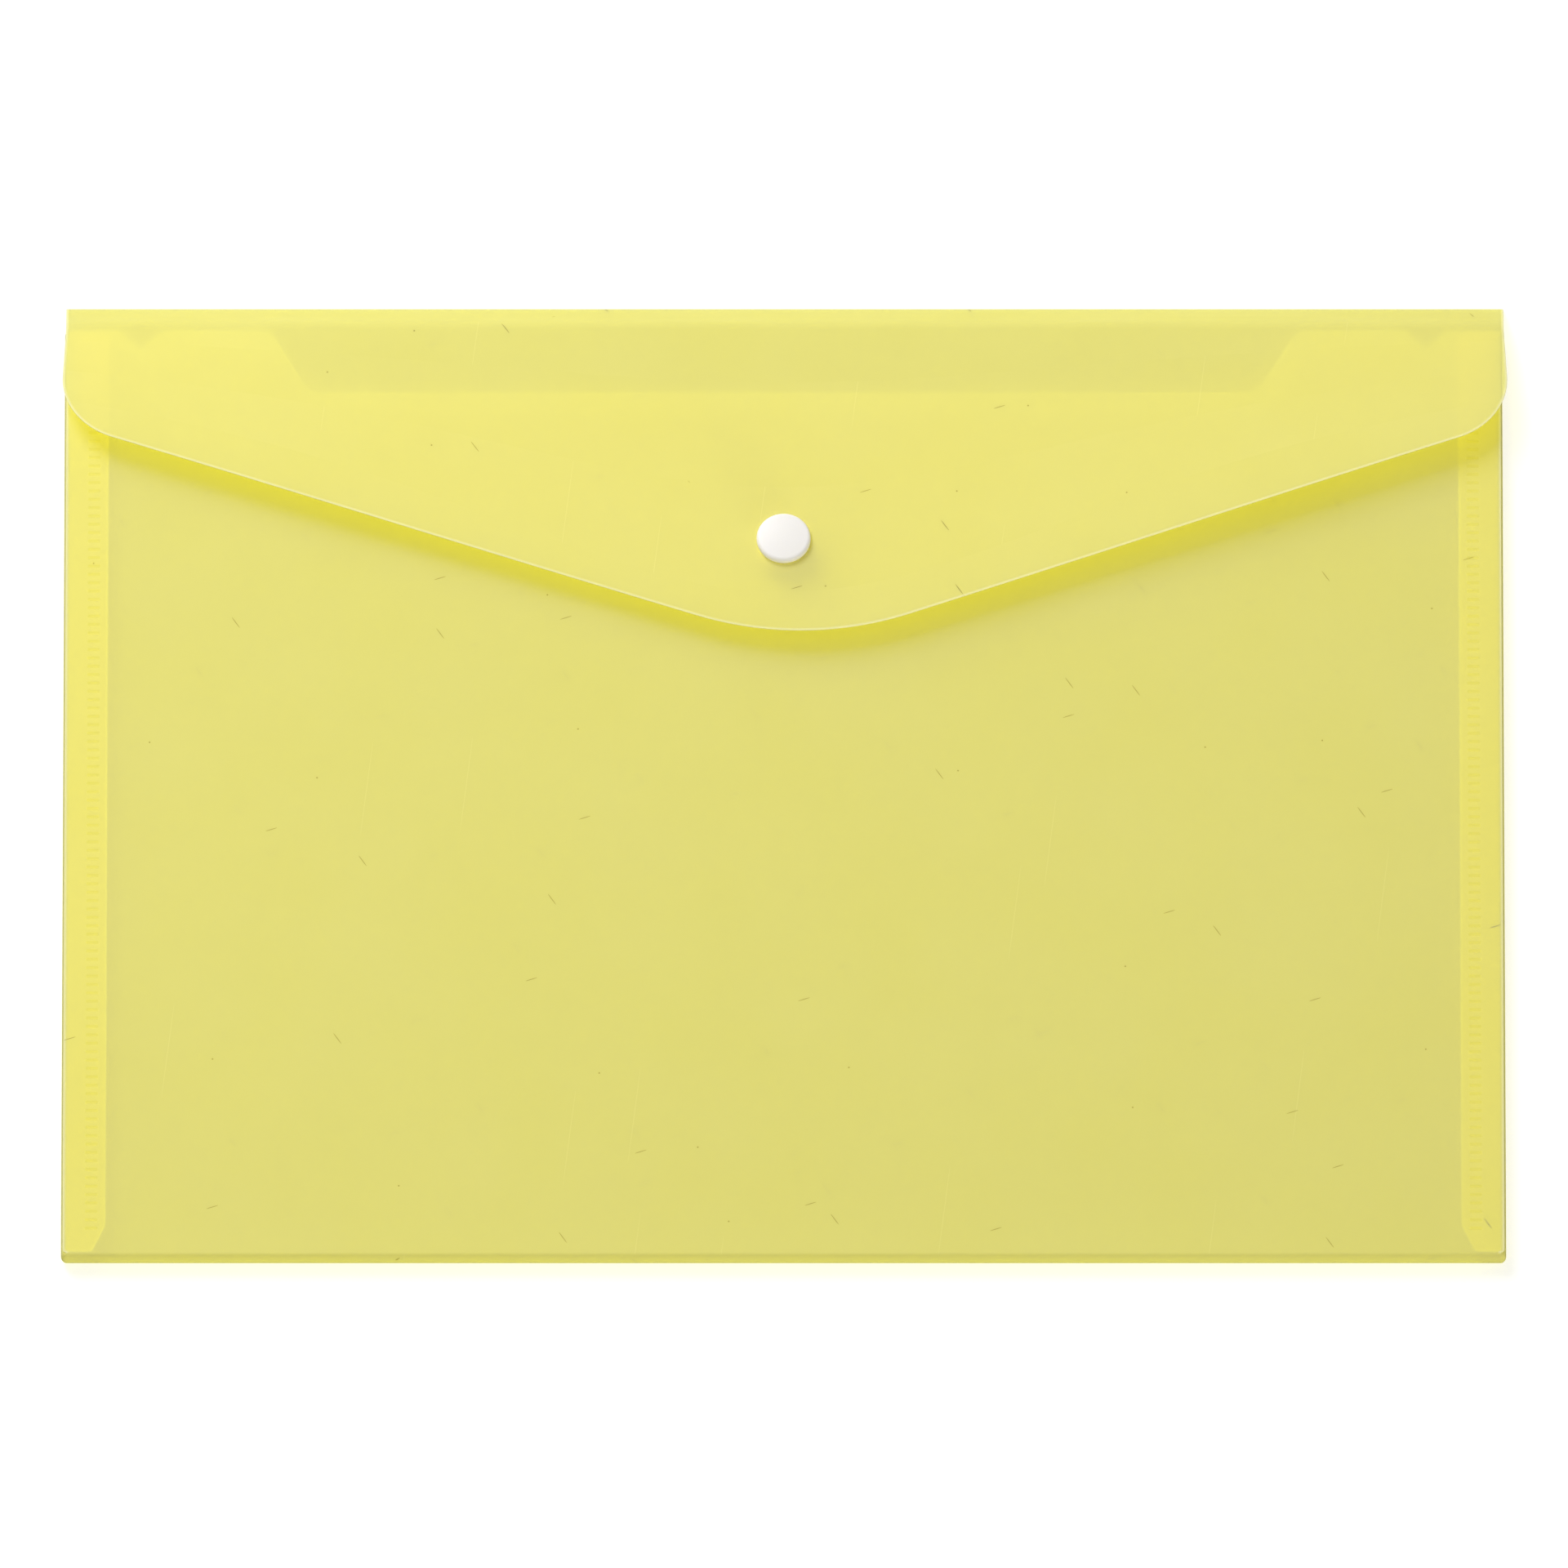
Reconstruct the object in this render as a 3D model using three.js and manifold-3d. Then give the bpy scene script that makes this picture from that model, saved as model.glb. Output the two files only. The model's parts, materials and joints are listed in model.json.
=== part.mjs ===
// A snap-button document pouch of translucent polypropylene sheet, closed and lying on its back panel.
// Millimetres. X runs along the mouth, Y from the bottom fold up to the mouth, Z up from the table.
// The origin is on the table, under the middle of the pouch.
import * as THREE from "three";
import { mergeVertices } from "three/addons/utils/BufferGeometryUtils.js";
import Module from "manifold-3d";

const wasm = await Module();
wasm.setup();

// Driving sizes of the pouch
const pouchWidth = 330; // over the side folds
const pouchDepth = 240; // from the bottom fold to the crease behind the mouth
const sheet = 0.25; // thickness of the polypropylene sheet
const roomInside = 4.1; // clear height between the back and front panels
const foldDepth = 1.3; // how far a sprung fold bulges past the panels it joins
const cornerRadius = 1.4; // bottom corners, seen from above
const cutEdgeInset = 0.4; // from the outside of the pouch to the welded cut edges and the ends of the creases

// Front panel: dropped top edge, corner tabs and V notches
const tabDrop = 7.5; // from the crease behind the mouth down to the top of the corner tabs
const mouthDrop = 23; // from the same crease down to the dropped edge
const tabWidth = 47.2; // from the outside of the pouch to the start of the slope
const slopeRun = 11; // along X, from the tab down to the dropped edge
const slopeRadius = 5; // rounding at the top and the foot of the slope
const notchInset = 17.5; // from the outside of the pouch to the point of the V
const notchHalfWidth = 4.9;
const notchDepth = 4.6;

// Side flaps, and the marks that weld them to the front panel
const sideFlapWidth = 8.9; // from the start of the fold to the free edge
const sideFlapChamferRun = 3.1;
const sideFlapChamferRise = 6.5;
const sideFlapEndGap = 0.3; // over the bottom fold
const earRelief = 0.2; // slit between the side folds and the wider ears of the back panel
const weldInset = 6.9; // from the outside of the pouch to the middle of the marks
const weldLength = 3;
const weldBreadth = 1;
const weldPitch = 2.1;
const weldPress = 0.1; // depth that the welding tool leaves in the front panel
const weldEndMargin = 5; // bare stretch at each end of a row of marks

// Top fold: the strip between the two score lines
const topFoldRun = 5.87; // along Y, from the lower crease to the upper one
const flapLift = 0.3; // from the front panel to the underside of the flap at its crease
const lowerCreaseGap = 0.6; // from the lower crease to the sheet on each side of it
const upperCreaseGap = 0.3;

// Flap, as cut flat: widths across, depths from the upper crease
const flapFlare = 1.3; // how far the side edges flare out from the ends of the crease
const flapSideDepth = 27.3; // where a side edge and a slanted edge would cross
const flapPointDepth = 83.6; // where the two slanted edges would cross
const flapPointOffset = 4.6; // the point lies right of the middle
const flapCornerRadius = 16.5;
const flapTipRadius = 76;
const flapSideRise = THREE.MathUtils.degToRad(10.5); // slope of the sprung flap at its side edges
const flapStep = 11; // longest step along the flap's edge
const flapRows = 6;

// Press snap
const snapFromCrease = 55.9; // along the flap, from the upper crease to the middle of the snap
const capRadius = 6.1;
const capRim = 0.8; // height of a cap's upright edge
const capDome = 0.55; // rise of the dome over the edge
const capEdgeRound = 0.35;
const postRadius = 1.2;
const postPlay = 0.25; // between a post and the holes it passes
const seatGap = 0.05; // between the sheet and the parts that clamp it
const rivetHeadRadius = 1.75; // the pressed end of a post
const rivetHeadHeight = 0.3;
const rivetHeadPlay = 0.2;
const socketRadius = 5.3;
const socketHeight = 2.25;
const socketWeb = 0.6;
const socketChamfer = 0.5;
const studRadius = 5;
const studFlange = 0.7;
const studKnob = 1.4; // height of the knob over the flange
const studNeckRadius = 2.15;
const studLipRadius = 2.45;
const studLipHeight = 0.7;
const studCounterbore = 0.5; // depth of the recess that holds the pressed end of the post
const snapPlay = 0.4; // between the socket's rim and the stud's flange
const knobPlay = 0.35; // between the stud's lip and the socket's bore

// Fineness of the round stretches
const roundSegments = 40;
const domeSteps = 6;
const capEdgeSteps = 3;
const foldSegments = 12;
const holeSegments = 10;
const smallArcSteps = 5;
const wideArcSteps = 10;

// Places that follow from the sizes above
const creaseY = pouchDepth / 2;
const tabTopY = creaseY - tabDrop;
const mouthY = creaseY - mouthDrop;
const panelBottomY = foldDepth - pouchDepth / 2;
const panelHalfWidth = pouchWidth / 2 - foldDepth;
const cutHalfWidth = pouchWidth / 2 - cutEdgeInset;
const flapSideHalfWidth = cutHalfWidth + flapFlare;
const frontUnder = sheet + roomInside;
const frontTop = frontUnder + sheet;
const sideFlapBottomY = panelBottomY + sideFlapEndGap;
const upperCreaseY = creaseY - topFoldRun;
const upperCreaseZ = frontTop + flapLift + sheet / 2;
const topFoldRise = upperCreaseZ - sheet / 2;
const snapStack = studFlange + snapPlay + socketHeight + seatGap;
const flapMiddleRise = Math.asin((frontTop + snapStack + sheet / 2 - upperCreaseZ) / snapFromCrease);
const snapY = upperCreaseY - snapFromCrease * Math.cos(flapMiddleRise);

const frosted = new THREE.MeshStandardMaterial({ color: 0xe9e280, roughness: 0.45, metalness: 0 });
const opaqueWhite = new THREE.MeshStandardMaterial({ color: 0xfaf7f0, roughness: 0.35, metalness: 0 });

// A geometry's closed surface as a solid that can be joined and cut.
function solidFrom(geometry) {
  const bare = geometry.clone();
  bare.deleteAttribute("normal");
  bare.deleteAttribute("uv");
  const merged = mergeVertices(bare, 1e-4);
  return new wasm.Manifold(
    new wasm.Mesh({
      numProp: 3,
      vertProperties: merged.attributes.position.array,
      triVerts: new Uint32Array(merged.index.array),
    }),
  );
}

function geometryFrom(solid) {
  const mesh = solid.getMesh();
  const shared = new THREE.BufferGeometry();
  shared.setAttribute("position", new THREE.BufferAttribute(new Float32Array(mesh.vertProperties), 3));
  shared.setIndex(new THREE.BufferAttribute(new Uint32Array(mesh.triVerts), 1));
  const faceted = shared.toNonIndexed();
  faceted.computeVertexNormals();
  return faceted;
}

function addPiece(parent, name, geometry, material) {
  const mesh = new THREE.Mesh(geometry, material);
  mesh.name = name;
  parent.add(mesh);
  return mesh;
}

const mirrored = (points) => points.map(([x, y]) => [-x, y]).reverse();

function polygon(points) {
  return new THREE.Shape(points.map(([x, y]) => new THREE.Vector2(x, y)));
}

// A flat piece of the sheet, cut to an outline in X and Y, with its underside at a height.
function plate(outline, underside) {
  const settings = { depth: sheet, bevelEnabled: false, curveSegments: holeSegments };
  return new THREE.ExtrudeGeometry(outline, settings).translate(0, 0, underside);
}

// Points of the arc that rounds the corner between two straight edges.
function roundedCorner(before, corner, after, radius, steps) {
  const at = new THREE.Vector2(...corner);
  const back = new THREE.Vector2(...before).sub(at).normalize();
  const forth = new THREE.Vector2(...after).sub(at).normalize();
  const halfAngle = Math.acos(back.dot(forth)) / 2;
  const centre = back.clone().add(forth).setLength(radius / Math.sin(halfAngle)).add(at);
  const tangent = radius / Math.tan(halfAngle);
  const start = back.setLength(tangent).add(at).sub(centre);
  const end = forth.setLength(tangent).add(at).sub(centre);
  const turn = Math.atan2(start.cross(end), start.dot(end));
  return Array.from({ length: steps + 1 }, (_, i) => {
    const arm = start.clone().rotateAround(new THREE.Vector2(), (turn * i) / steps);
    return [centre.x + arm.x, centre.y + arm.y];
  });
}

// The back panel's ears beside the mouth are wider, because the side folds end below them.
function backPanel() {
  const rightHalf = [
    [panelHalfWidth, panelBottomY],
    [panelHalfWidth, tabTopY + earRelief],
    [cutHalfWidth, tabTopY + earRelief],
    [cutHalfWidth, creaseY - lowerCreaseGap],
  ];
  return plate(polygon([...rightHalf, ...mirrored(rightHalf)]), 0);
}

// A sprung fold that joins two sheets a height apart: half an elliptical ring in its own X and Y, along Z.
function foldAlong(height, length) {
  const middle = height / 2;
  const section = new THREE.Shape();
  section.absellipse(0, middle, foldDepth, middle, -Math.PI / 2, Math.PI / 2, false);
  section.lineTo(0, height - sheet);
  section.absellipse(0, middle, foldDepth - sheet, middle - sheet, Math.PI / 2, -Math.PI / 2, true);
  section.lineTo(0, 0);
  const settings = { depth: length, bevelEnabled: false, curveSegments: foldSegments };
  return new THREE.ExtrudeGeometry(section, settings);
}

// Turns a fold so that it bulges towards a direction in plan and starts from a point.
function placedFold(fold, bulge, start) {
  const up = new THREE.Vector3(0, 0, 1);
  const along = new THREE.Vector3().crossVectors(bulge, up);
  return fold.applyMatrix4(new THREE.Matrix4().makeBasis(bulge, up, along).setPosition(start));
}

// Bottom fold, with the bottom corners of the sheet rounded off.
function bottomFold() {
  const towardsUser = new THREE.Vector3(0, -1, 0);
  const fold = placedFold(
    foldAlong(frontTop, 2 * cutHalfWidth),
    towardsUser,
    new THREE.Vector3(cutHalfWidth, panelBottomY, 0),
  );
  const edgeY = -pouchDepth / 2;
  const above = [cutHalfWidth, creaseY];
  const rightHalf = [
    ...roundedCorner([0, edgeY], [cutHalfWidth, edgeY], above, cornerRadius, smallArcSteps),
    above,
  ];
  const outline = polygon([...rightHalf, ...mirrored(rightHalf)]);
  const column = new THREE.ExtrudeGeometry(outline, { depth: 2 * frontTop, bevelEnabled: false });
  column.translate(0, 0, -frontTop / 2);
  return geometryFrom(solidFrom(fold).intersect(solidFrom(column)));
}

// Front panel outline, from the right bottom corner to the right end of the dropped edge.
function frontOutlineHalf() {
  const outside = pouchWidth / 2;
  const slopeTop = [outside - tabWidth, tabTopY];
  const slopeFoot = [outside - tabWidth - slopeRun, mouthY];
  const notch = outside - notchInset;
  return [
    [cutHalfWidth, panelBottomY],
    [cutHalfWidth, tabTopY],
    [notch + notchHalfWidth, tabTopY],
    [notch, tabTopY - notchDepth],
    [notch - notchHalfWidth, tabTopY],
    ...roundedCorner([outside, tabTopY], slopeTop, slopeFoot, slopeRadius, smallArcSteps),
    ...roundedCorner(slopeTop, slopeFoot, [0, mouthY], slopeRadius, smallArcSteps),
  ];
}

// The bars that the welding tool presses into the front panel down one side.
function weldMarks(side) {
  const lowest = panelBottomY + weldEndMargin;
  const count = Math.floor((tabTopY - notchDepth - weldEndMargin - lowest) / weldPitch);
  const x = side * (pouchWidth / 2 - weldInset);
  return Array.from({ length: count }, (_, i) => {
    const bar = new THREE.BoxGeometry(weldLength, weldBreadth, 2 * weldPress);
    return solidFrom(bar.translate(x, lowest + (i + 0.5) * weldPitch, frontTop));
  });
}

function frontPanel() {
  const rightHalf = frontOutlineHalf();
  const outline = polygon([...rightHalf, ...mirrored(rightHalf)]);
  outline.holes.push(new THREE.Path().absarc(0, snapY, postRadius + postPlay, 0, 2 * Math.PI, true));
  const marks = wasm.Manifold.union([...weldMarks(-1), ...weldMarks(1)]);
  return geometryFrom(solidFrom(plate(outline, frontUnder)).subtract(marks));
}

function sideFold(side) {
  const bulge = new THREE.Vector3(side, 0, 0);
  const startY = side > 0 ? tabTopY : sideFlapBottomY;
  const fold = foldAlong(frontUnder, tabTopY - sideFlapBottomY);
  return placedFold(fold, bulge, new THREE.Vector3(side * panelHalfWidth, startY, 0));
}

function sideFlap(side) {
  const inner = panelHalfWidth - sideFlapWidth;
  const rightOutline = [
    [panelHalfWidth, sideFlapBottomY],
    [panelHalfWidth, tabTopY],
    [inner, tabTopY],
    [inner, sideFlapBottomY + sideFlapChamferRise],
    [inner + sideFlapChamferRun, sideFlapBottomY],
  ];
  return plate(polygon(side > 0 ? rightOutline : mirrored(rightOutline)), frontUnder - sheet);
}

// Top fold: a flat strip that leans from the lower crease up and forward to the upper crease.
function topFold() {
  const width = Math.hypot(topFoldRun, topFoldRise) - lowerCreaseGap - upperCreaseGap;
  const strip = new THREE.BoxGeometry(2 * cutHalfWidth, width, sheet);
  strip.translate(0, -lowerCreaseGap - width / 2, 0);
  strip.rotateX(-Math.atan2(topFoldRise, topFoldRun));
  return strip.translate(0, creaseY, sheet / 2);
}

// The flap's free edge from its left to its right end, as cut flat, with steps short enough to bend.
function flapEdge() {
  const left = [-flapSideHalfWidth, flapSideDepth];
  const right = [flapSideHalfWidth, flapSideDepth];
  const point = [flapPointOffset, flapPointDepth];
  const corners = [
    ...roundedCorner([-cutHalfWidth, 0], left, point, flapCornerRadius, wideArcSteps),
    ...roundedCorner(left, point, right, flapTipRadius, wideArcSteps),
    ...roundedCorner(point, right, [cutHalfWidth, 0], flapCornerRadius, wideArcSteps),
  ].map(([x, depth]) => new THREE.Vector2(x, depth));
  return corners.flatMap((corner, i) => {
    const next = corners[i + 1] ?? corner;
    const steps = Math.max(1, Math.ceil(corner.distanceTo(next) / flapStep));
    return Array.from({ length: steps }, (_, k) => corner.clone().lerp(next, k / steps));
  });
}

// A point of the sprung flap: a place as cut flat, raised over the sheet's middle by a height.
function flapPoint(x, depth, over) {
  const rise = flapMiddleRise + (flapSideRise - flapMiddleRise) * (x / flapSideHalfWidth) ** 2;
  return new THREE.Vector3(
    x,
    upperCreaseY - depth * Math.cos(rise) + over * Math.sin(rise),
    upperCreaseZ + depth * Math.sin(rise) + over * Math.cos(rise),
  );
}

// The sprung flap as a closed sheet: columns that run from the crease to the points of the free edge.
function sprungFlap() {
  const edge = flapEdge();
  const lengths = edge.map((point, i) => (i ? point.distanceTo(edge[i - 1]) : 0));
  const total = lengths.reduce((sum, length) => sum + length, 0);
  const positions = [];
  let run = 0;
  edge.forEach((free, i) => {
    run += lengths[i];
    const crease = new THREE.Vector2(cutHalfWidth * ((2 * run) / total - 1), upperCreaseGap);
    for (let row = 0; row <= flapRows; row += 1) {
      const flat = crease.clone().lerp(free, row / flapRows);
      positions.push(...flapPoint(flat.x, flat.y, sheet / 2), ...flapPoint(flat.x, flat.y, -sheet / 2));
    }
  });
  const vertex = (column, row, under) => 2 * (column * (flapRows + 1) + row) + under;
  const faces = [];
  const quad = (a, b, c, d) => faces.push(a, b, c, a, c, d);
  const lastColumn = edge.length - 1;
  for (let c = 0; c < lastColumn; c += 1) {
    for (let r = 0; r < flapRows; r += 1) {
      quad(vertex(c, r, 0), vertex(c, r + 1, 0), vertex(c + 1, r + 1, 0), vertex(c + 1, r, 0));
      quad(vertex(c, r, 1), vertex(c + 1, r, 1), vertex(c + 1, r + 1, 1), vertex(c, r + 1, 1));
    }
    quad(vertex(c, 0, 0), vertex(c + 1, 0, 0), vertex(c + 1, 0, 1), vertex(c, 0, 1));
    quad(
      vertex(c, flapRows, 0),
      vertex(c, flapRows, 1),
      vertex(c + 1, flapRows, 1),
      vertex(c + 1, flapRows, 0),
    );
  }
  for (let r = 0; r < flapRows; r += 1) {
    quad(vertex(0, r, 0), vertex(0, r, 1), vertex(0, r + 1, 1), vertex(0, r + 1, 0));
    quad(
      vertex(lastColumn, r, 0),
      vertex(lastColumn, r + 1, 0),
      vertex(lastColumn, r + 1, 1),
      vertex(lastColumn, r, 1),
    );
  }
  const geometry = new THREE.BufferGeometry();
  geometry.setAttribute("position", new THREE.Float32BufferAttribute(positions, 3));
  geometry.setIndex(faces);
  return geometry;
}

// The flap, with the hole for the cap's post.
function flap() {
  const hole = new THREE.CylinderGeometry(
    postRadius + postPlay,
    postRadius + postPlay,
    4 * sheet,
    roundSegments,
  );
  hole.rotateX(Math.PI / 2 - flapMiddleRise);
  hole.translate(...flapPoint(0, snapFromCrease, 0));
  return geometryFrom(solidFrom(sprungFlap()).subtract(solidFrom(hole)));
}

// A round piece about its own Z axis, from [radius, height] points.
function turned(profile) {
  const points = profile.map(([radius, height]) => new THREE.Vector2(radius, height));
  return new THREE.LatheGeometry(points, roundSegments).rotateX(Math.PI / 2);
}

// A cap whose flat underside lies at height zero, with a post of a given length that ends in a rivet head.
function cap(postLength) {
  const head = postLength - rivetHeadHeight;
  const shoulder = capRadius - capEdgeRound;
  const edge = Array.from({ length: capEdgeSteps }, (_, i) => {
    const angle = (Math.PI / 2) * (i / capEdgeSteps);
    return [
      shoulder + capEdgeRound * Math.cos(angle),
      capRim - capEdgeRound + capEdgeRound * Math.sin(angle),
    ];
  });
  const dome = Array.from({ length: domeSteps + 1 }, (_, i) => {
    const radius = shoulder * (1 - i / domeSteps);
    return [radius, capRim + capDome * (1 - (radius / shoulder) ** 2)];
  });
  return turned([
    [0, -postLength],
    [rivetHeadRadius, -postLength],
    [rivetHeadRadius, -head],
    [postRadius, -head],
    [postRadius, 0],
    [capRadius, 0],
    ...edge,
    ...dome,
  ]);
}

// The socket, with its top at height zero and its bore open downwards.
function socket() {
  const bore = studLipRadius + knobPlay;
  const hole = postRadius + postPlay;
  return turned([
    [hole, 0],
    [hole, -socketWeb],
    [bore, -socketWeb],
    [bore, -socketHeight],
    [socketRadius - socketChamfer, -socketHeight],
    [socketRadius, socketChamfer - socketHeight],
    [socketRadius, 0],
    [hole, 0],
  ]);
}

// The stud, with its flange's underside at height zero.
function stud() {
  const hole = postRadius + postPlay;
  const recess = rivetHeadRadius + rivetHeadPlay;
  const top = studFlange + studKnob;
  return turned([
    [hole, 0],
    [studRadius, 0],
    [studRadius, studFlange],
    [studNeckRadius, studFlange],
    [studNeckRadius, top - studLipHeight],
    [studLipRadius, top - studLipHeight / 2],
    [studNeckRadius, top],
    [recess, top],
    [recess, top - studCounterbore],
    [hole, top - studCounterbore],
    [hole, 0],
  ]);
}

const pouch = new THREE.Group();

addPiece(pouch, "back_panel", backPanel(), frosted);
addPiece(pouch, "bottom_fold", bottomFold(), frosted);
addPiece(pouch, "front_panel", frontPanel(), frosted);
for (const [name, side] of [["left", -1], ["right", 1]]) {
  addPiece(pouch, `${name}_side_fold`, sideFold(side), frosted);
  addPiece(pouch, `${name}_side_flap`, sideFlap(side), frosted);
}
addPiece(pouch, "top_fold", topFold(), frosted);
addPiece(pouch, "flap", flap(), frosted);

// The half of the snap on the flap turns with the flap's slope.
const upperSnap = new THREE.Group();
upperSnap.position.copy(flapPoint(0, snapFromCrease, 0));
upperSnap.rotation.x = -flapMiddleRise;
pouch.add(upperSnap);
const clamp = sheet / 2 + seatGap;
const capPost = 2 * clamp + socketWeb + seatGap + rivetHeadHeight;
addPiece(upperSnap, "snap_cap", cap(capPost), opaqueWhite).position.z = clamp;
addPiece(upperSnap, "snap_socket", socket(), opaqueWhite).position.z = -clamp;

// The half on the front panel stands upright, its cap inside the pouch.
const studPost = seatGap + sheet + studFlange + studKnob - studCounterbore + seatGap + rivetHeadHeight;
addPiece(pouch, "snap_stud", stud(), opaqueWhite).position.set(0, snapY, frontTop);
const studCap = addPiece(pouch, "stud_cap", cap(studPost), opaqueWhite);
studCap.position.set(0, snapY, frontUnder - seatGap);
studCap.rotation.x = Math.PI;

export default pouch;
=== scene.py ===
"""Looks of a translucent yellow document pouch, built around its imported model.

Lengths are millimetres until a mesh is made. X runs along the mouth, Y from the bottom fold to the mouth
and Z up from the table.
"""
import json
import math

import bpy
import numpy as np
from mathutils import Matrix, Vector, geometry

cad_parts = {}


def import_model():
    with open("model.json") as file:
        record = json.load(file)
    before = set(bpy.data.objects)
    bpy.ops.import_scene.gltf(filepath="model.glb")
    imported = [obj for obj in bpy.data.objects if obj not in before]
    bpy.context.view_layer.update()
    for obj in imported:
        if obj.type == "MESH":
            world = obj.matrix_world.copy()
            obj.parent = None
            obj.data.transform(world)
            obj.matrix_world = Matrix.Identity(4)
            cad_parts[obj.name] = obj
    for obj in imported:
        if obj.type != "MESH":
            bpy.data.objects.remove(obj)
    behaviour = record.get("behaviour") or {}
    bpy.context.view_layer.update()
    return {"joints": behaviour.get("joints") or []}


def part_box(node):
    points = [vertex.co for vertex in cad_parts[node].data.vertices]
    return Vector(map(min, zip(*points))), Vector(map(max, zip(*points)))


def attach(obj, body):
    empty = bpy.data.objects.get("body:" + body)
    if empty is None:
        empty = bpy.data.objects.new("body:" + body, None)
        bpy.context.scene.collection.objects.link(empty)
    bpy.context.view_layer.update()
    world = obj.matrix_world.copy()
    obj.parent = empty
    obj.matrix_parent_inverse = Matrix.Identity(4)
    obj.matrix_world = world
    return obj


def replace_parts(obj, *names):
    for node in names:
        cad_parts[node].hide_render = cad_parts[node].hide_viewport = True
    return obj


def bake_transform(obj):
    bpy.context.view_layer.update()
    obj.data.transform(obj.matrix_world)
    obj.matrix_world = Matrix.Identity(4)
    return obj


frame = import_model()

MM = 0.001


def box_mm(node):
    low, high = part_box(node)
    return low / MM, high / MM


# Sizes read from the frame
BACK_LOW, BACK_HIGH = box_mm("back_panel")
FRONT_LOW, FRONT_HIGH = box_mm("front_panel")
SIDE_LOW, SIDE_HIGH = box_mm("right_side_flap")
FOLD_LOW, FOLD_HIGH = box_mm("right_side_fold")
JOINTS = {joint["name"]: joint for joint in frame["joints"]}
LOWER_CREASE = Vector(JOINTS["lower_crease"]["pos_m"]) / MM
UPPER_CREASE = Vector(JOINTS["upper_crease"]["pos_m"]) / MM
SHEET = BACK_HIGH.z - BACK_LOW.z
HALF_SHEET = SHEET / 2
PANEL_HALF = SIDE_HIGH.x  # where the side folds start
CUT_HALF = FRONT_HIGH.x  # the welded cut edges
OUTSIDE = FOLD_HIGH.x
FOLD_DEPTH = OUTSIDE - PANEL_HALF
PANEL_BOTTOM = BACK_LOW.y  # where the bottom fold starts
TAB_TOP = FRONT_HIGH.y

# Outline of the front panel and of the side flaps
MOUTH_DROP = 23.0  # from the lower crease down to the dropped edge
TAB_WIDTH = 47.2  # from the outside of the pouch to the start of the slope
SLOPE_RUN = 9.0
SLOPE_RADIUS = 4.0
NOTCH_INSET = 17.5
NOTCH_HALF_WIDTH = 4.9
NOTCH_DEPTH = 4.6
CHAMFER_RUN = 3.1
CHAMFER_RISE = 6.5
EAR_RELIEF = 0.2
PANEL_CORNER = 0.85

# Weld marks
WELD_INSET = 6.9
WELD_LENGTH = 3.0
WELD_BREADTH = 1.0
WELD_PITCH = 2.1
WELD_PRESS = 0.04
WELD_SLOPE = 0.2  # width of the sloping wall round a mark
WELD_END_MARGIN = 5.0
SIDE_WELD = 0.8  # how much of a mark's look the whole side flap has

# Flap, as cut flat
CREASE_OVERHANG = 0.45  # of the fold past the cut edges of the front panel, on each side
CREASE_HALF = CUT_HALF + CREASE_OVERHANG
CREASE_SHIFT = 0.3  # the fold and the flap lie this far to the right of the pouch's middle
FLAP_FLARE = 1.3
FLAP_SIDE_DEPTH = 27.3
FLAP_POINT_DEPTH = 83.6
FLAP_POINT_OFFSET = 4.6
FLAP_CORNER_RADIUS = 16.5
FLAP_TIP_RADIUS = 76.0
FLAP_SIDE_HALF = CREASE_HALF + FLAP_FLARE
FLAP_SIDE_RISE = math.radians(10.5)
SNAP_FROM_CREASE = 55.9
SNAP_STACK = 3.4  # from the front panel to the underside of the flap at the snap
SNAP_RISE = FRONT_HIGH.z + SNAP_STACK + HALF_SHEET - UPPER_CREASE.z
FLAP_MIDDLE_RISE = math.asin(SNAP_RISE / SNAP_FROM_CREASE)
SNAP_Y = UPPER_CREASE.y - SNAP_FROM_CREASE * math.cos(FLAP_MIDDLE_RISE)

# Press snap
HOLE_RADIUS = 1.45
POST_RADIUS = 1.2
SEAT_GAP = 0.05
CAP_RADIUS = 6.2
CAP_RIM = 1.5
CAP_DOME = 0.3
CAP_EDGE_ROUND = 0.9
CAP_FOOT_ROUND = 0.12
RIVET_RADIUS = 1.75
RIVET_HEIGHT = 0.3
SOCKET_RADIUS = 5.3
SOCKET_HEIGHT = 2.25
SOCKET_WEB = 0.6
SOCKET_BORE = 2.8
STUD_RADIUS = 5.0
STUD_FLANGE = 0.7
STUD_KNOB = 1.4
STUD_NECK = 2.15
STUD_LIP = 2.45
STUD_LIP_HEIGHT = 0.7
STUD_RECESS = 1.95
STUD_RECESS_DEPTH = 0.5
SMALL_ROUND = 0.1  # rounding of a plain edge
FLANGE_ROUND = 0.25
SOCKET_ROUND = 0.5
NECK_ROUND = 0.08
LIP_ROUND = 0.2
RECESS_ROUND = 0.04

# Creases
LOWER_ROUND = 0.2  # radius that the middle of the sheet keeps in the lower crease
UPPER_TANGENT = 1.6  # stretch on each side of the upper crease that the bend takes
FOLD_BOW = 0.25  # how far the top fold bows outwards
SEAM_RUN = 1.0  # from the lower crease to where the crease strip ends, on each side
LOWER_BLEND = 0.07  # half a stretch about the lower crease; the points it gives are not used
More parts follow.
